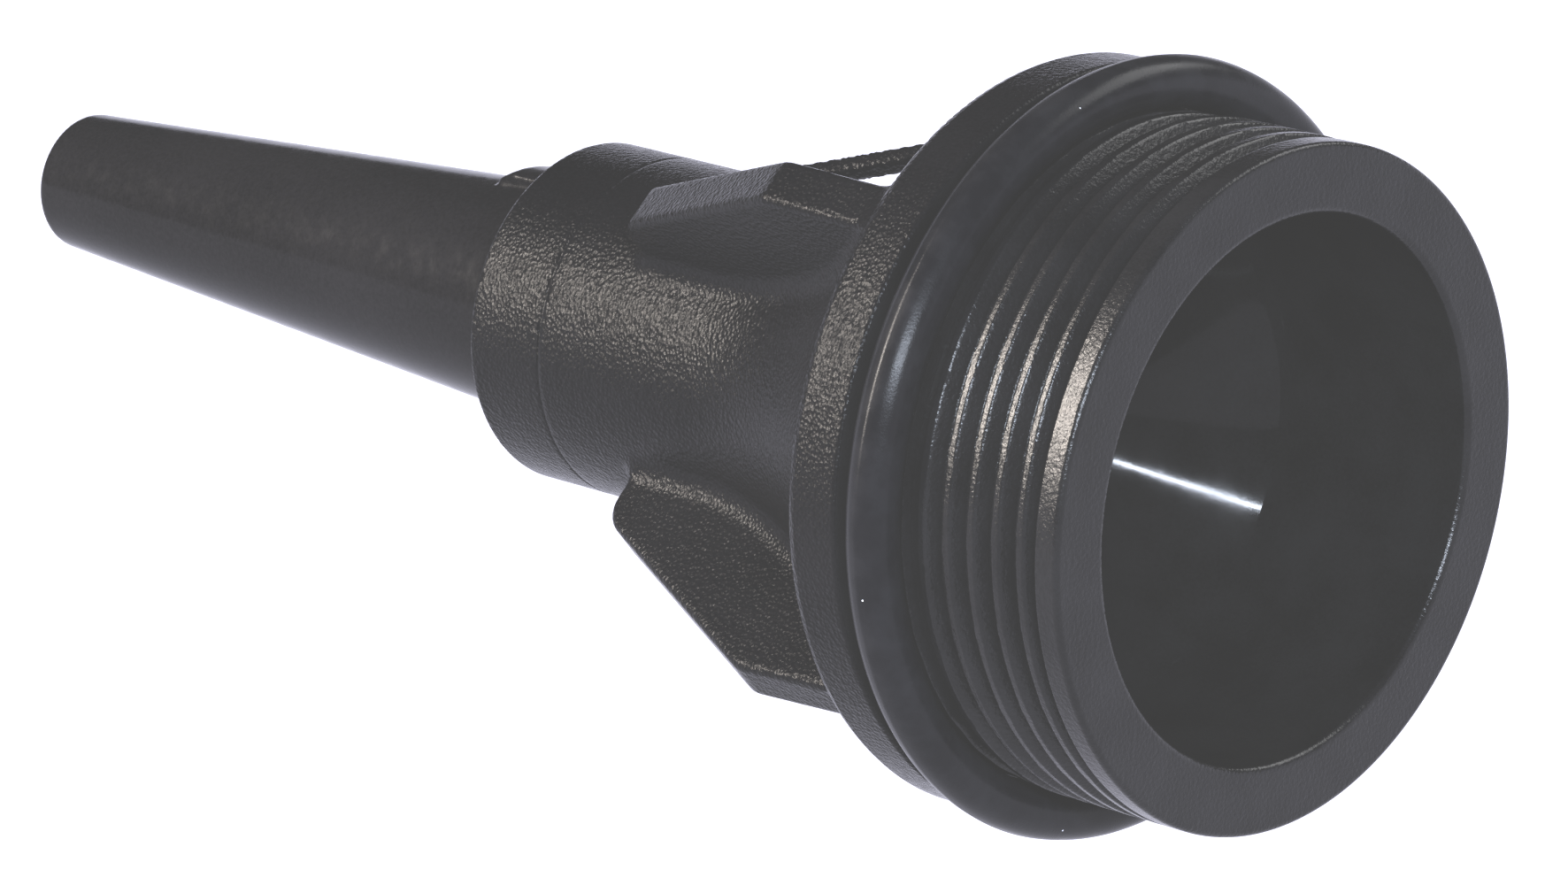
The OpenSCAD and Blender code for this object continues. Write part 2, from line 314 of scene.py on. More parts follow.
def surface(field, low, high, step):
    """Verts (depth, y, z in millimetres) and quads of a field's zero surface, by surface nets.
    Each point is then moved onto the surface itself."""
    low = np.asarray(low, float)
    shape = [int(math.ceil((h - l) / step)) + 1 for l, h in zip(low, high)]
    axes = [low[k] + step * np.arange(shape[k]) for k in range(3)]
    values = np.empty(shape)
    for i, depth in enumerate(axes[0]):
        y, z = np.meshgrid(axes[1], axes[2], indexing="ij")
        values[i] = field(np.full(y.shape, depth), y, z)
    inside = values < 0
    count = np.zeros([n - 1 for n in shape], int)
    for i, j, k in CORNERS:
        count += inside[i:shape[0] - 1 + i, j:shape[1] - 1 + j, k:shape[2] - 1 + k]
    cells = np.argwhere((count > 0) & (count < 8))
    number = np.full(count.shape, -1)
    number[tuple(cells.T)] = np.arange(len(cells))
    at = [values[tuple((cells + c).T)] for c in CORNERS]
    total, hits = np.zeros((len(cells), 3)), np.zeros(len(cells))
    for a, b in EDGES:
        cross = (at[a] < 0) != (at[b] < 0)
        t = np.where(cross, at[a] / np.where(cross, at[a] - at[b], 1), 0)
        point = CORNERS[a] + t[:, None] * (CORNERS[b] - CORNERS[a])
        total += np.where(cross[:, None], point, 0)
        hits += cross
    verts = low + step * (cells + total / hits[:, None])
    quads = []
    for axis in range(3):
        one = np.eye(3, dtype=int)[axis]
        u, v = np.eye(3, dtype=int)[(axis + 1) % 3], np.eye(3, dtype=int)[(axis + 2) % 3]
        first = inside[tuple(slice(0, n - s) for n, s in zip(shape, one))]
        second = inside[tuple(slice(s, n) for n, s in zip(shape, one))]
        at_edge = np.argwhere(first != second)
        keep = np.all((at_edge - u - v) >= 0, axis=1) & np.all(at_edge < np.array(shape) - 1, axis=1)
        at_edge = at_edge[keep]
        quads.append(np.stack([number[tuple(c.T)] for c in
                               (at_edge - u - v, at_edge - v, at_edge, at_edge - u)], axis=1))
    quads = np.concatenate(quads)
    return settle(field, verts, step), quads[np.all(quads >= 0, axis=1)]


def settle(field, verts, step, rounds=4, h=0.01):
    """Moves points onto the field's zero surface, at most half a step each time.
    h is the distance over which the slope is taken."""
    for _ in range(rounds):
        f = field(*verts.T)
        grad = np.stack([(field(*(verts + h * e).T) - field(*(verts - h * e).T)) / (2 * h)
                         for e in np.eye(3)], axis=1)
        move = f[:, None] * grad / np.maximum((grad ** 2).sum(axis=1), 0.25)[:, None]
        far = np.linalg.norm(move, axis=1, keepdims=True)
        verts = verts - move * np.minimum(1, 0.5 * step / np.maximum(far, 1e-9))
    return verts


def cut_flat(verts, faces, depths):
    """Cuts a shell off at depths (front, back) and closes it with flat caps"""
    bm = bmesh.new()
    points = [bm.verts.new(v) for v in verts.tolist()]
    for f in faces.tolist():
        bm.faces.new([points[k] for k in f])
    for depth, away in zip(depths, (-1, 1)):
        geometry = bm.verts[:] + bm.edges[:] + bm.faces[:]
        cut = bmesh.ops.bisect_plane(bm, geom=geometry, plane_co=(depth, 0, 0), plane_no=(away, 0, 0),
                                     clear_outer=True, dist=1e-5)
        rim = [e for e in cut["geom_cut"] if isinstance(e, bmesh.types.BMEdge)]
        bridge = bmesh.ops.bridge_loops(bm, edges=rim)
        bmesh.ops.triangulate(bm, faces=bridge["faces"])
    bm.verts.index_update()
    out = np.array([v.co for v in bm.verts])
    polygons = [[v.index for v in f.verts] for f in bm.faces]
    bm.free()
    return out, polygons


def from_field(verts):
    """Blender coordinates of (depth, y, z) points"""
    return verts * np.array([-1, 1, 1]) * MM


# ---------------------------------------------------------------- housing


def funnel_radius(depth):
    """Radius of the air way behind the straight bore, with a soft start"""
    into = np.minimum(depth, FUNNEL_END) - BORE_DEPTH
    straight = BORE_R - into * (BORE_R - THROAT_R) / (FUNNEL_END - BORE_DEPTH)
    return soft_min(straight, BORE_R + 0 * depth, FUNNEL_SOFT)


def form(t):
    """Thread form from 0 at the root to 1 at the crest, with soft corners"""
    return soft_min(soft_max(t, 0, EDGE_SOFT), 1, EDGE_SOFT)


def thread_radius(depth, r, angle):
    """Radii of the port end's outside: the thread between the land and the undercut, and the
    slightly ragged lip that the mould leaves on the gland's front edge"""
    phase = (depth - FIRST_CREST) / PITCH + (angle - CREST_ANGLE) / 360
    off = (phase - np.round(phase)) * PITCH
    crest_at = depth - off
    fade = np.clip((RUN_OUT[1] - crest_at) / (RUN_OUT[1] - RUN_OUT[0]), 0, 1)
    crest = form((CREST_HALF + FLANK - np.abs(off)) / FLANK) * fade * fade * (3 - 2 * fade)
    land = form((LAND_END + FLANK - depth) / FLANK)
    helix = ROOT_R + THREAD_H * soft_max(crest, land, LAND_SOFT)
    threaded = (r > ROOT_R - 0.01) & (r < CREST_R + 0.01) & (depth > MOUTH_CHAMFER) & (depth < GLAND_FROM)
    ragged = LIP_RAGGED * (np.sin(np.radians(angle) * 23) + np.sin(np.radians(angle) * 41 + 1)) / 2
    lip = (np.abs(depth - GLAND_FROM - LIP_AT) < LIP_HALF) & (r > ROOT_R + 0.5) & (r < GLAND_R + 0.2)
    return np.where(threaded, np.minimum(helix, CREST_R), r + np.where(lip, ragged, 0))


def port_end():
    """Mouth, thread, gland, flange band and the lining of the air way, as one turned shell"""
    p = fillet((0, BORE_R), (BORE_DEPTH, BORE_R), (0, CREST_R), BORE_EDGE)
    p += [(0, r) for r in steps(BORE_R + BORE_EDGE + 0.1, CREST_R - MOUTH_CHAMFER - 0.1, FACE_STEP)]
    p += fillet((0, CREST_R), (0, BORE_R), (GLAND_FROM, CREST_R), MOUTH_CHAMFER)
    p += [(d, CREST_R) for d in steps(MOUTH_CHAMFER + 0.05, GLAND_FROM - 0.05, THREAD_STEP)]
    p += [(GLAND_FROM, ROOT_R + 0.05), (GLAND_FROM, GLAND_R - 0.15), (GLAND_FROM + 0.1, GLAND_R + LIP_H),
          (GLAND_FROM + 0.16, GLAND_R + LIP_H), (GLAND_FROM + 0.3, GLAND_R)]
    p += [(d, GLAND_R) for d in steps(GLAND_FROM + 0.4, FLANGE_FRONT - 0.3, 1.0)]
    p += fillet((FLANGE_FRONT, GLAND_R), (GLAND_FROM, GLAND_R), (FLANGE_FRONT, FLANGE_R), GLAND_ROOT)
    p += [(FLANGE_FRONT, r) for r in steps(GLAND_R + 0.3, FLANGE_R - 0.45, FACE_STEP)]
    p += fillet((FLANGE_FRONT, FLANGE_R), (FLANGE_FRONT, GLAND_R), (FLANGE_BACK, FLANGE_R),
                FLANGE_FRONT_EDGE)
    p += [(d, FLANGE_R) for d in steps(FLANGE_FRONT + 0.4, FLANGE_BAND_END, 0.5)]
    p += [(d, float(funnel_radius(d)) + LINER_T) for d in steps(FLANGE_BAND_END, FUNNEL_END, 1.5)]
    p += [(SOCKET_FROM, THROAT_R + LINER_T), (SOCKET_FROM, LEDGE_R), (THROAT_END, LEDGE_R),
          (THROAT_END, THROAT_R)]
    p += [(d, float(funnel_radius(d))) for d in steps(FUNNEL_END, BORE_DEPTH - 2.5, 0.4)]
    p += [(d, BORE_R) for d in steps(BORE_DEPTH - 3, 0.6, 0.8)]
    return lathe(p, PORT_COLUMNS, thread_radius)


def eye_wing_field(d, y, z, wing):
    """The wing with the lanyard eye: a plain wing cut short, and the bail behind it"""
    out, side = (y + z) / math.sqrt(2), (z - y) / math.sqrt(2)
    slope = (out - WING_CORNER_R + WING_FALL * (d - WING_CORNER_AT)) / math.hypot(1, WING_FALL)
    plate = np.abs(side - WING_HALF + BAIL_T / 2) - BAIL_T / 2
    frame = np.maximum(np.maximum(slope, EYE_FROM - 1 - d), d - BAIL_END)
    eye = np.maximum(np.maximum(slope + BAIL_W, EYE_FLOOR_R - out), np.maximum(EYE_FROM - d, d - EYE_TO))
    bail = round_both(np.maximum(frame, -eye), plate, BAIL_EDGE)
    return np.minimum(round_both(wing, d - EYE_FROM, WING_EDGE), bail)


def grip_field(d, y, z):
    """Flange back, flare, collar and wings; hollow for the lining and the collar's core"""
    r = np.hypot(y, z)
    band = np.maximum(r - FLANGE_R, d - FLANGE_BACK)
    slope = np.hypot(FLANGE_BACK - FLANGE_BAND_END, FLANGE_R - FLANGE_BACK_R)
    bevel = ((d - FLANGE_BAND_END) * (FLANGE_R - FLANGE_BACK_R)
             + (r - FLANGE_R) * (FLANGE_BACK - FLANGE_BAND_END)) / slope
    flange = round_both(np.maximum(band, bevel), d - FLANGE_BACK, FLANGE_BACK_EDGE)
    flange = np.maximum(flange, r - FLANGE_R)
    hollow = FLARE_ARC - np.hypot(np.minimum(d, FLARE_END) - FLARE_END, r - COLLAR_R - FLARE_ARC)
    neck = round_both(hollow, r - FLARE_TOP_R, FLARE_EDGE)
    body = fillet_both(flange, neck, FLANGE_FOOT)
    along, across = (np.abs(y) + np.abs(z)) / math.sqrt(2), (np.abs(z) - np.abs(y)) / math.sqrt(2)
    outline = polygon_field(d, along, WING_OUTLINE, WING_CORNER)
    wing = round_both(outline, np.abs(across) - WING_HALF, WING_EDGE)
    wing = np.where((y > 0) & (z > 0), eye_wing_field(d, y, z, wing), wing)
    solid = np.minimum(fillet_both(body, wing, WING_ROOT), body)
    core = np.where(d < SOCKET_FROM, funnel_radius(d) + LINER_T, COLLAR_CORE_R)
    return np.maximum(solid, core - r)


def grip():
    """Flange back, flare, collar and wings, cut off flat where the turned shells take over.
    The grid reaches past both cuts, and what it makes beyond them is dropped."""
    reach = FLANGE_R + 0.8
    verts, faces = surface(grip_field, (FLANGE_BAND_END - 1.1, -reach, -reach),
                           (COLLAR_SPLIT + 1.2, reach, reach), GRIP_CELL)
    ends = (verts[:, 0] > FLANGE_BAND_END - 0.8) & (verts[:, 0] < COLLAR_SPLIT + 0.8)
    verts, faces = cut_flat(verts, faces[np.all(ends[faces], axis=1)], (FLANGE_BAND_END, COLLAR_SPLIT))
    return from_field(verts), faces


def collar_core():
    """The collar's end under the end ring, with the nozzle's socket and its seal groove"""
    lip = COLLAR_EDGE
    seam_from, seam_r = RING_FRONT - SEAM_W, COLLAR_R - SEAM_DEPTH
    groove_from, groove_to, groove_r = SEAL_GROOVE
    end = RING_FRONT + RING_SEAT_LEN
    p = [(COLLAR_SPLIT, COLLAR_CORE_R), (COLLAR_SPLIT, COLLAR_R), (seam_from - 3 * lip, COLLAR_R),
         (seam_from - SEAM_LIP, COLLAR_R), (seam_from, COLLAR_R - SEAM_LIP), (seam_from, seam_r),
         (RING_FRONT, seam_r), (RING_FRONT, RING_SEAT_R), (end - lip, RING_SEAT_R),
         (end, RING_SEAT_R - lip), (end, SOCKET_R + lip), (end - lip, SOCKET_R),
         (groove_to, SOCKET_R), (groove_to, groove_r), (groove_from, groove_r),
         (groove_from, SOCKET_R), (SOCKET_FROM, SOCKET_R), (SOCKET_FROM, COLLAR_CORE_R - 0.02)]
    return lathe(p, COLLAR_COLUMNS)


def housing_finish(centre):
    """0 for the textured outside, 1 for the polished air way and 2 for the smooth port end"""
    depth, r = -centre[:, 0], np.hypot(centre[:, 1], centre[:, 2])
    bore = (r < BORE_R + 0.06) & (depth > 0.2) & (depth < SOCKET_FROM) & (r < funnel_radius(depth) + 0.2)
    return np.where(bore, 1, np.where(depth < FLANGE_FRONT + 0.05, 2, 0))


# ---------------------------------------------------------------- the other pieces


def end_ring_field(d, y, z):
    """The ring that closes the collar, with a seat for the collar's end and a slot for the lugs"""
    r = np.hypot(y, z)
    outside = round_both(r - COLLAR_R, d - COLLAR_END, RING_EDGE)
    outside = round_both(outside, RING_FRONT - d, SEAM_LIP)
    hole = np.minimum(r - SOCKET_R, tube(d, r, 0, RING_FRONT + RING_SEAT_LEN, RING_SEAT_R))
    slot = np.maximum(np.abs(y) - LUG_HALF - LUG_SIDE_GAP, np.abs(z) - LUG_R - LUG_TOP_GAP)
    return round_both(outside, -np.minimum(hole, slot), RING_HOLE_EDGE)


def end_ring():
    reach = COLLAR_R + 0.6
    low, high = (RING_FRONT - 0.6, -reach, -reach), (COLLAR_END + 0.6, reach, reach)
    return surface(end_ring_field, low, high, END_RING_CELL)


def nozzle_field(d, y, z):
    """Spigot, cone and two lugs; bored for the felt, the core tube and the outlet"""
    r = np.hypot(y, z)
    fall = (SPIGOT_R - TIP_R) / (TIP_AT - CONE_FROM)
    cone = (r - SPIGOT_R + np.maximum(d - CONE_FROM, 0) * fall) / math.hypot(1, fall)
    outside = round_both(round_both(cone, d - TIP_AT, TIP_EDGE), SPIGOT_FROM - d, SPIGOT_EDGE)
    lug = round_both(polygon_field(d, r, LUG_OUTLINE, LUG_EDGE), np.abs(y) - LUG_HALF, LUG_EDGE)
    solid = np.minimum(fillet_both(outside, lug, LUG_ROOT), outside)
    taper = (CHAMBER_R - CHAMBER_END_R) / (CHAMBER_TO - CONE_FROM)
    chamber = r - CHAMBER_R + np.maximum(d - CONE_FROM, 0) * taper
    hole = np.maximum(chamber / math.hypot(1, taper), d - CHAMBER_TO)
    hole = np.minimum(hole, tube(d, r, CHAMBER_TO - 1, CORE_TO, CORE_SEAT_R))
    hole = np.minimum(hole, tube(d, r, CORE_TO - 1, TIP_AT + 9, OUTLET_R))
    hole = np.minimum(hole, tube(d, r, *SNAP_GROOVE))
    return round_both(solid, -hole, HOLE_EDGE)


def nozzle():
    reach = LUG_R + 0.6
    low, high = (SPIGOT_FROM - 0.7, -reach, -reach), (TIP_AT + 0.7, reach, reach)
    return surface(nozzle_field, low, high, NOZZLE_CELL)


def port_seal():
    """A moulded ring, with the faint parting line that its mould leaves"""
    half = (SEAL_BACK - SEAL_FRONT) / 2
    centre_r, centre_at = SEAL_R - half, (SEAL_FRONT + SEAL_BACK) / 2
    line_h, line_degrees = 0.03, 4
    profile = []
    for a in np.arange(SEAL_ROWS) * 2 * math.pi / SEAL_ROWS:
        off = math.degrees(abs(math.remainder(a - math.pi / 2, math.tau)))
        line = line_h * math.exp(-(off / line_degrees) ** 2)
        r = half - line_h + line
        profile.append((centre_at + r * math.cos(a), centre_r + r * math.sin(a)))
    return lathe(profile, SEAL_COLUMNS)


def felt_radius(depth, r, angle):
    """Needled felt: a slightly uneven skin"""
    a = np.radians(angle)
    bumps = (np.sin(depth * 2.1 + 3 * np.sin(5 * a)) + np.sin(9 * a + depth * 0.9)
             + np.sin(23 * a - depth * 3.3))
    return np.where(r > CORE_SEAT_R + 0.3, r - FELT_INSET + FELT_BUMP * bumps, r)


def felt():
    """The absorber sleeve round the core tube"""
    p = [(d, FELT_R - 0.05) for d in steps(FELT_FROM + 0.2, CONE_FROM, 0.5)]
    taper = (FELT_R - CHAMBER_END_R) / (FELT_TO - CONE_FROM)
    p += [(d, FELT_R - 0.1 - taper * (d - CONE_FROM)) for d in steps(CONE_FROM + 0.5, FELT_TO - 0.2, 0.5)]
    p += [(FELT_TO - 0.2, CORE_SEAT_R + 0.05)]
    p += [(d, CORE_SEAT_R + 0.02) for d in steps(FELT_TO - 0.6, FELT_FROM + 0.6, 3)]
    p += [(FELT_FROM + 0.2, CORE_SEAT_R + 0.05)]
    return lathe(p, FELT_COLUMNS, felt_radius)


# ---------------------------------------------------------------- materials


# Specular level of each dark material
BODY_SHINE, NOZZLE_SHINE = 0.045, 0.05
PORT_SHINE, BORE_SHINE, RUBBER_SHINE = 0.12, 0.05, 0.065
PLASTIC_IOR = 1.5
DUST = (0.5, 0.51, 0.55, 1)


class Nodes:
    """A short way to build a material's nodes"""

    def __init__(self, name):
        self.material = bpy.data.materials.new(name)
        self.material.use_nodes = True
        self.tree = self.material.node_tree
        self.shader = self.tree.nodes["Principled BSDF"]
        self.place = self.add("ShaderNodeTexCoord").outputs["Object"]

    def add(self, kind, inputs=None, **settings):
        node = self.tree.nodes.new(kind)
        for key, value in settings.items():
            setattr(node, key, value)
        for key, value in (inputs or {}).items():
            if isinstance(value, bpy.types.NodeSocket):
                self.tree.links.new(value, node.inputs[key])
            else:
                node.inputs[key].default_value = value
        return node

    def noise(self, size_mm, detail=2.0, rough=0.5, stretch=(1, 1, 1)):
        """Noise whose features are about size_mm across"""
        place = self.add("ShaderNodeMapping", {"Vector": self.place, "Scale": stretch}).outputs[0]
        return self.add("ShaderNodeTexNoise", {"Vector": place, "Scale": 1 / (size_mm * MM),
                                               "Detail": detail, "Roughness": rough}).outputs[0]

    def spots(self, spacing_mm):
        """Distance to the nearest of many scattered points, and a random colour for each"""
        node = self.add("ShaderNodeTexVoronoi", {"Vector": self.place, "Scale": 1 / (spacing_mm * MM)})
        return node.outputs["Distance"], node.outputs["Color"]

    def span(self, value, low, high, out_low, out_high):
        """The value, stretched from low..high to out_low..out_high"""
        inputs = {0: value, 1: low, 2: high, 3: out_low, 4: out_high}
        return self.add("ShaderNodeMapRange", inputs).outputs[0]

    def math(self, operation, a, b=0.0):
        return self.add("ShaderNodeMath", {0: a, 1: b}, operation=operation).outputs[0]

    def mix(self, factor, a, b):
        """Two colours blended; 6 and 7 are the node's colour sockets"""
        return self.add("ShaderNodeMix", {0: factor, 6: a, 7: b}, data_type="RGBA").outputs[2]

    def dusted(self, tone, share, spacing_mm=1.6, size=0.08):
        """The tone with a few pale specks; share is how many of the scattered points carry one"""
        distance, shade = self.spots(spacing_mm)
        split = self.add("ShaderNodeSeparateColor", {0: shade})
        rare = self.math("GREATER_THAN", split.outputs[0], 1 - share)
        speck = self.math("MULTIPLY", self.math("LESS_THAN", distance, size), rare)
        return self.mix(speck, tone, DUST)

    def bump(self, height, distance_mm, strength=1.0, normal=None):
        inputs = {"Height": height, "Distance": distance_mm * MM, "Strength": strength}
        if normal is not None:
            inputs["Normal"] = normal
        return self.add("ShaderNodeBump", inputs).outputs[0]

    def connect(self, **inputs):
        for key, value in inputs.items():
            key = key.replace("_", " ")
            if isinstance(value, bpy.types.NodeSocket):
                self.tree.links.new(value, self.shader.inputs[key])
            else:
                self.shader.inputs[key].default_value = value
        return self.material


def grained_plastic(name, colour, rough, grain_mm, grain_depth, dust=0.0, shine=BODY_SHINE,
                    pebble=0.0):
    """Black glass-filled plastic from a spark-eroded mould: fine grain, faint flow marks and, where
    dust is above 0, a few specks. pebble is the depth of a second, rounder grain."""
    n = Nodes(name)
    fine, coarse = n.noise(grain_mm, 3.0, 0.6), n.noise(grain_mm * 3.5, 2.0, 0.5)
    flow = n.noise(9.0, 3.0, 0.5, stretch=(0.5, 1, 1))
    light = tuple(c * 1.9 + 0.0015 for c in colour)
    cloud = n.math("ADD", n.math("MULTIPLY", flow, 0.5), n.math("MULTIPLY", fine, 0.5))
    tone = n.mix(n.span(cloud, 0.38, 0.62, 0.0, 1.0), (*colour, 1), (*light, 1))
    tone = n.dusted(tone, dust)
    height = n.math("ADD", fine, n.math("MULTIPLY", coarse, 0.6))
    normal = n.bump(height, grain_depth)
    if pebble:
        normal = n.bump(n.spots(grain_mm * 1.3)[0], pebble, normal=normal)
    n.shader.inputs["Specular IOR Level"].default_value = shine
    return n.connect(Base_Color=tone, Roughness=n.span(coarse, 0.3, 0.7, rough - 0.05, rough + 0.05),
                     Normal=normal, IOR=PLASTIC_IOR)


def polished_plastic(name, colour, rough, shine, grain_depth=0.0):
    """The same plastic off a polished core: faint drag marks along the axis, and haze"""
    n = Nodes(name)
    drag = n.noise(0.5, 2.0, 0.5, stretch=(0.04, 1, 1))
    haze, fine = n.noise(5.0, 3.0, 0.55), n.noise(0.25, 3.0, 0.6)
    cloud = n.math("ADD", n.math("MULTIPLY", haze, 0.6), n.math("MULTIPLY", fine, 0.4))
    light = tuple(c * 1.8 + 0.002 for c in colour)
    tone = n.mix(n.span(cloud, 0.38, 0.65, 0.0, 1.0), (*colour, 1), (*light, 1))
    n.shader.inputs["Specular IOR Level"].default_value = shine
    normal = n.bump(n.noise(0.32, 2.0, 0.6), grain_depth, normal=n.bump(drag, 0.002))
    return n.connect(Base_Color=tone, Roughness=n.span(haze, 0.3, 0.7, rough, rough + 0.06),
                     Normal=normal, IOR=PLASTIC_IOR)


def rubber(name, colour, rough):
    """Moulded nitrile: smooth, with a faint bloom, fine pores and the odd speck of dust"""
    n = Nodes(name)
    bloom, pores = n.noise(3.0, 4.0, 0.6), n.noise(0.16, 2.0, 0.5)
    light = tuple(c * 1.5 + 0.004 for c in colour)
    tone = n.mix(n.span(bloom, 0.4, 0.7, 0.0, 0.7), (*colour, 1), (*light, 1))
    tone = n.dusted(tone, share=0.008, spacing_mm=1.2, size=0.06)
    n.shader.inputs["Specular IOR Level"].default_value = RUBBER_SHINE
    return n.connect(Base_Color=tone, Roughness=n.span(bloom, 0.3, 0.7, rough - 0.05, rough + 0.08),
                     Normal=n.bump(pores, 0.01), IOR=PLASTIC_IOR)


def steel(name, colour, rough):
    """Drawn steel: fine lines along the axis and a satin, slightly blotched surface"""
    n = Nodes(name)
    lines, blotch = n.noise(0.25, 3.0, 0.6, stretch=(0.08, 1, 1)), n.noise(2.5, 3.0, 0.5)
    tone = n.mix(n.span(blotch, 0.3, 0.7, 0.0, 1.0), (*colour, 1), (*(c * 0.78 for c in colour), 1))
    uneven = n.span(blotch, 0.3, 0.7, rough, rough + 0.12)
    return n.connect(Base_Color=tone, Metallic=1.0, Roughness=uneven, Normal=n.bump(lines, 0.01))


def felt_material(name, colour):
    """Needled felt: tangled fibres and small tufts"""
    n = Nodes(name)
    fibres = n.noise(0.35, 6.0, 0.75, stretch=(1, 2.5, 0.7))
    tufts = n.noise(1.8, 4.0, 0.6)
    tone = n.mix(n.span(fibres, 0.3, 0.7, 0.0, 1.0), (*(c * 0.7 for c in colour), 1), (*colour, 1))
    height = n.math("ADD", fibres, tufts)
    n.shader.inputs["Sheen Weight"].default_value = 0.4
    return n.connect(Base_Color=tone, Roughness=0.95, Normal=n.bump(height, 0.25))


BODY = grained_plastic("body_plastic", (0.0008, 0.0007, 0.001), rough=0.22, grain_mm=0.24,
                       grain_depth=0.035, dust=0.012, pebble=0.055)
BORE = polished_plastic("bore_plastic", (0.001, 0.001, 0.0011), rough=0.06, shine=BORE_SHINE)
PORT = polished_plastic("port_plastic", (0.0015, 0.0014, 0.0017), rough=0.2, shine=PORT_SHINE,
                        grain_depth=0.05)
NOZZLE = grained_plastic("nozzle_plastic", (0.002, 0.0018, 0.0022), rough=0.15, grain_mm=0.32,
                         grain_depth=0.006, dust=0.005, shine=NOZZLE_SHINE)
RUBBER = rubber("seal_rubber", (0.002, 0.002, 0.003), rough=0.25)
STEEL = steel("perforated_steel", (0.55, 0.56, 0.57), rough=0.28)
SPRING = steel("spring_steel", (0.42, 0.43, 0.45), rough=0.24)
FELT = felt_material("felt", (0.72, 0.69, 0.6))
INSERT = grained_plastic("insert_plastic", (0.035, 0.035, 0.04), rough=0.4, grain_mm=0.35,
                         grain_depth=0.02)

# ---------------------------------------------------------------- pieces

add_piece("housing_moulding", *join(port_end(), grip(), collar_core()), body="body", node="housing",
          slot="body_plastic", materials=(BODY, BORE, PORT), sharp=50, pick=housing_finish)
add_piece("port_seal_ring", *port_seal(), body="body", node="port_seal", slot="seal_rubber",
          materials=(RUBBER,))
verts, faces = end_ring()
add_piece("collar_end_ring", from_field(verts), faces, body="body", node="end_ring", slot="body_plastic",
          materials=(BODY,), sharp=50)
verts, faces = nozzle()
add_piece("outlet_nozzle", from_field(verts), faces, body="nozzle_unit", node="nozzle",
          slot="nozzle_plastic", materials=(NOZZLE,), sharp=50)
add_piece("absorber_felt", *felt(), body="nozzle_unit", node="absorber", slot="felt", materials=(FELT,))

# CAD nodes whose own shape is right get their material only
CARRIED = {"nozzle_seal": RUBBER, "screen_seal": RUBBER, "core_tube": STEEL, "inlet_screen": STEEL,
           "snap_ring": SPRING, "absorber_retainer": INSERT, "screen_carrier": INSERT}
for node, material in CARRIED.items():
    for slot in frame["nodes"][node].material_slots:
        slot.material = material

# ---------------------------------------------------------------- camera, stage and light


# The photograph's camera, found from the muffler's circles and outline, in millimetres
CAMERA_AT = Vector((330.341, -414.460, 125.223))
CAMERA_RIGHT = Vector((0.72964, 0.6815, 0.0564227))
CAMERA_UP = Vector((-0.196293, 0.129691, 0.971931))
LENS, SENSOR = 183.97, 36.0


def turned(right, up):
    """Rotation whose local x and y point right and up"""
    right = right.normalized()
    back = right.cross(up).normalized()
    return Matrix((right, back.cross(right), back)).transposed().to_4x4()


def add_camera():
    data = bpy.data.cameras.new("camera")
    data.sensor_width = SENSOR
    data.lens = LENS
    data.clip_start, data.clip_end = 0.01, 50
    camera = bpy.data.objects.new("camera", data)
    camera.matrix_world = Matrix.Translation(CAMERA_AT * MM) @ turned(CAMERA_RIGHT, CAMERA_UP)
    bpy.context.scene.collection.objects.link(camera)
    bpy.context.scene.camera = camera


def glow(name, colour, strength, see_through_from_below=False):
    """A surface that gives off its own even light"""
    material = bpy.data.materials.new(name)
    material.use_nodes = True
    tree = material.node_tree
    tree.nodes.clear()
    out = tree.nodes.new("ShaderNodeOutputMaterial")
    light = tree.nodes.new("ShaderNodeEmission")
    light.inputs[0].default_value, light.inputs[1].default_value = (*colour, 1), strength
    if not see_through_from_below:
        tree.links.new(light.outputs[0], out.inputs[0])
        return material
    clear, mix = tree.nodes.new("ShaderNodeBsdfTransparent"), tree.nodes.new("ShaderNodeMixShader")
    side = tree.nodes.new("ShaderNodeNewGeometry")
    tree.links.new(side.outputs["Backfacing"], mix.inputs[0])
    tree.links.new(light.outputs[0], mix.inputs[1])
    tree.links.new(clear.outputs[0], mix.inputs[2])
    tree.links.new(mix.outputs[0], out.inputs[0])
    return material


def add_stage(name, verts, faces, material, seen):
    """A piece of the stage, which isn't part of the muffler"""
    mesh = bpy.data.meshes.new(name)
    mesh.from_pydata(verts, [], faces)
    mesh.materials.append(material)
    piece = bpy.data.objects.new(name, mesh)
    piece.visible_camera = seen
    bpy.context.scene.collection.objects.link(piece)


def sheet(name, back, height, material, seen=True):
    """A level sheet at a height, from the room's front edge to y = back"""
    corners = [(-ROOM, -ROOM, height), (ROOM, -ROOM, height), (ROOM, back, height), (-ROOM, back, height)]
    add_stage(name, corners, [(0, 1, 2, 3)], material, seen)


def dome(name, radius, low, high, start, end, material):
    """Part of a sphere round the muffler, unseen by the camera. It spans two elevations and two
    bearings, in degrees; bearings are measured from +X towards +Y."""
    rows, columns = 12, 48
    verts, faces = [], []
    for elevation in np.radians(np.linspace(low, high, rows)):
        level = radius * math.cos(elevation)
        for bearing in np.radians(np.linspace(start, end, columns)):
            x, y = level * math.cos(bearing), level * math.sin(bearing)
            verts.append((x, y, radius * math.sin(elevation)))
    for i in range(rows - 1):
        for j in range(columns - 1):
            k = i * columns + j
            faces.append((k, k + 1, k + columns + 1, k + columns))
    add_stage(name, verts, faces, material, seen=False)


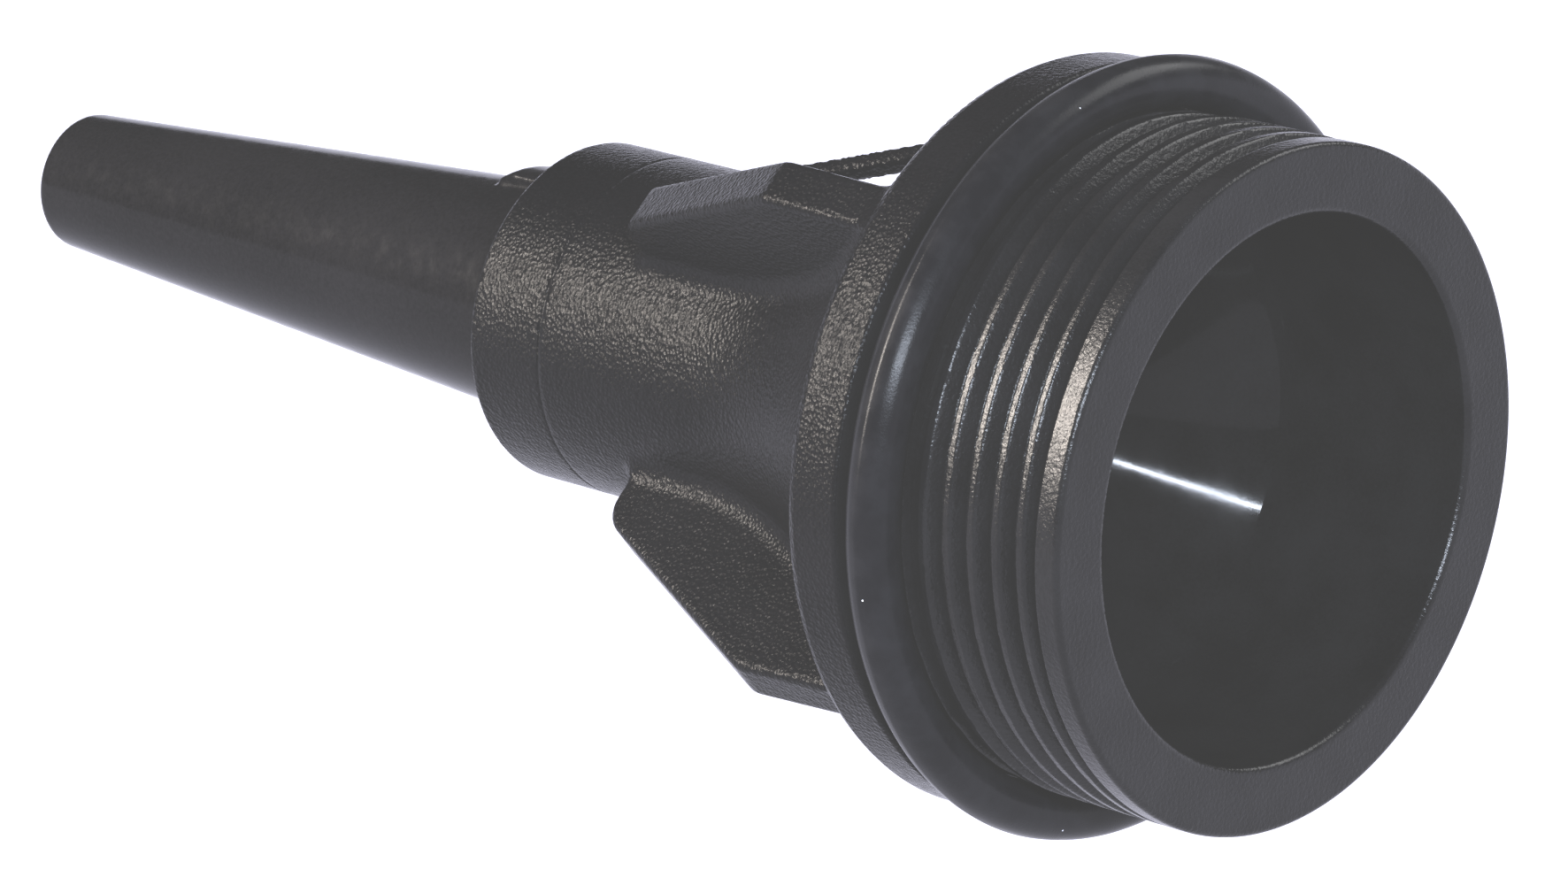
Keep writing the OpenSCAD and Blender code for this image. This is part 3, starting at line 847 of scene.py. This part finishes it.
def add_light(name, towards, distance, width, height, radiance, colour, upwards=(0, 0, 1)):
    """A flat light in a direction from the muffler's middle, facing it; its height runs upwards"""
    data = bpy.data.lights.new(name, "AREA")
    data.shape = "RECTANGLE"
    data.size, data.size_y = width, height
    data.energy = radiance * math.pi * width * height
    data.color = colour
    light = bpy.data.objects.new(name, data)
    towards = Vector(towards).normalized()
    turn = turned(Vector(upwards).cross(towards), Vector(upwards))
    light.matrix_world = Matrix.Translation(MIDDLE + towards * distance) @ turn
    light.visible_camera = False
    bpy.context.scene.collection.objects.link(light)


# From here on in metres. The white floor and the world give off the even, slightly cool light.
GLOW, GLOW_COLOUR = 1.4, (1, 1, 1.2)
MIDDLE = (cad_box[0] + cad_box[1]) / 2
FLOOR_Z = cad_box[0].z - 0.0002
ROOM = 4.5

add_camera()
floor_glow = glow("floor_white", GLOW_COLOUR, GLOW, see_through_from_below=True)
sheet("floor", ROOM, FLOOR_Z, floor_glow)

# Dark cards above and in front keep the black plastic black: it mirrors what stands there
dark = glow("card_dark", (1, 1, 1.05), 0.02)
CARD_LIFT, CARD_BACK = 0.002, -0.16
dome("ceiling_card", radius=4.0, low=14, high=89, start=0, end=360, material=dark)
dome("front_card", radius=4.02, low=-1, high=15, start=180, end=330, material=dark)
sheet("front_floor_card", CARD_BACK, FLOOR_Z + CARD_LIFT, dark, seen=False)

# The key is a long warm lamp with a bright middle: it is the highlight down collar and thread
KEY, KEY_UP, WARM = (-0.615, -0.714, 0.333), (0, 0.413, 0.911), (1.0, 0.91, 0.83)
add_light("key", KEY, distance=3.0, width=0.3, height=2.3, radiance=75.0, colour=WARM, upwards=KEY_UP)
add_light("key_core", KEY, distance=2.95, width=0.27, height=1.1, radiance=165.0, colour=WARM,
          upwards=KEY_UP)

# The flash is a narrow cool strip out in front of the mouth: it is the streak inside the bore
FLASH, FLASH_UP, COOL = (0.68, -0.69, 0.345), (0.73, 0.637, -0.249), (0.78, 0.86, 1.0)
add_light("flash", FLASH, distance=0.6, width=0.013, height=0.36, radiance=760.0, colour=COOL,
          upwards=FLASH_UP)

# A soft light behind, so that the back can be seen from other sides
add_light("back_fill", (0.34, 0.6, 0.72), distance=3.0, width=2.2, height=1.6, radiance=9.0,
          colour=(1, 1, 1))

world = bpy.data.worlds.new("world")
world.use_nodes = True
world.node_tree.nodes["Background"].inputs[0].default_value = (*GLOW_COLOUR, 1)
world.node_tree.nodes["Background"].inputs[1].default_value = GLOW
bpy.context.scene.world = world

# The photograph's blacks are pale: its darkest parts sit a quarter of the way up
BLACK_LEVEL = -0.0505
view = bpy.context.scene.view_settings
view.view_transform = "Standard"
view.use_curve_mapping = True
view.curve_mapping.black_level = (BLACK_LEVEL,) * 3
view.curve_mapping.update()
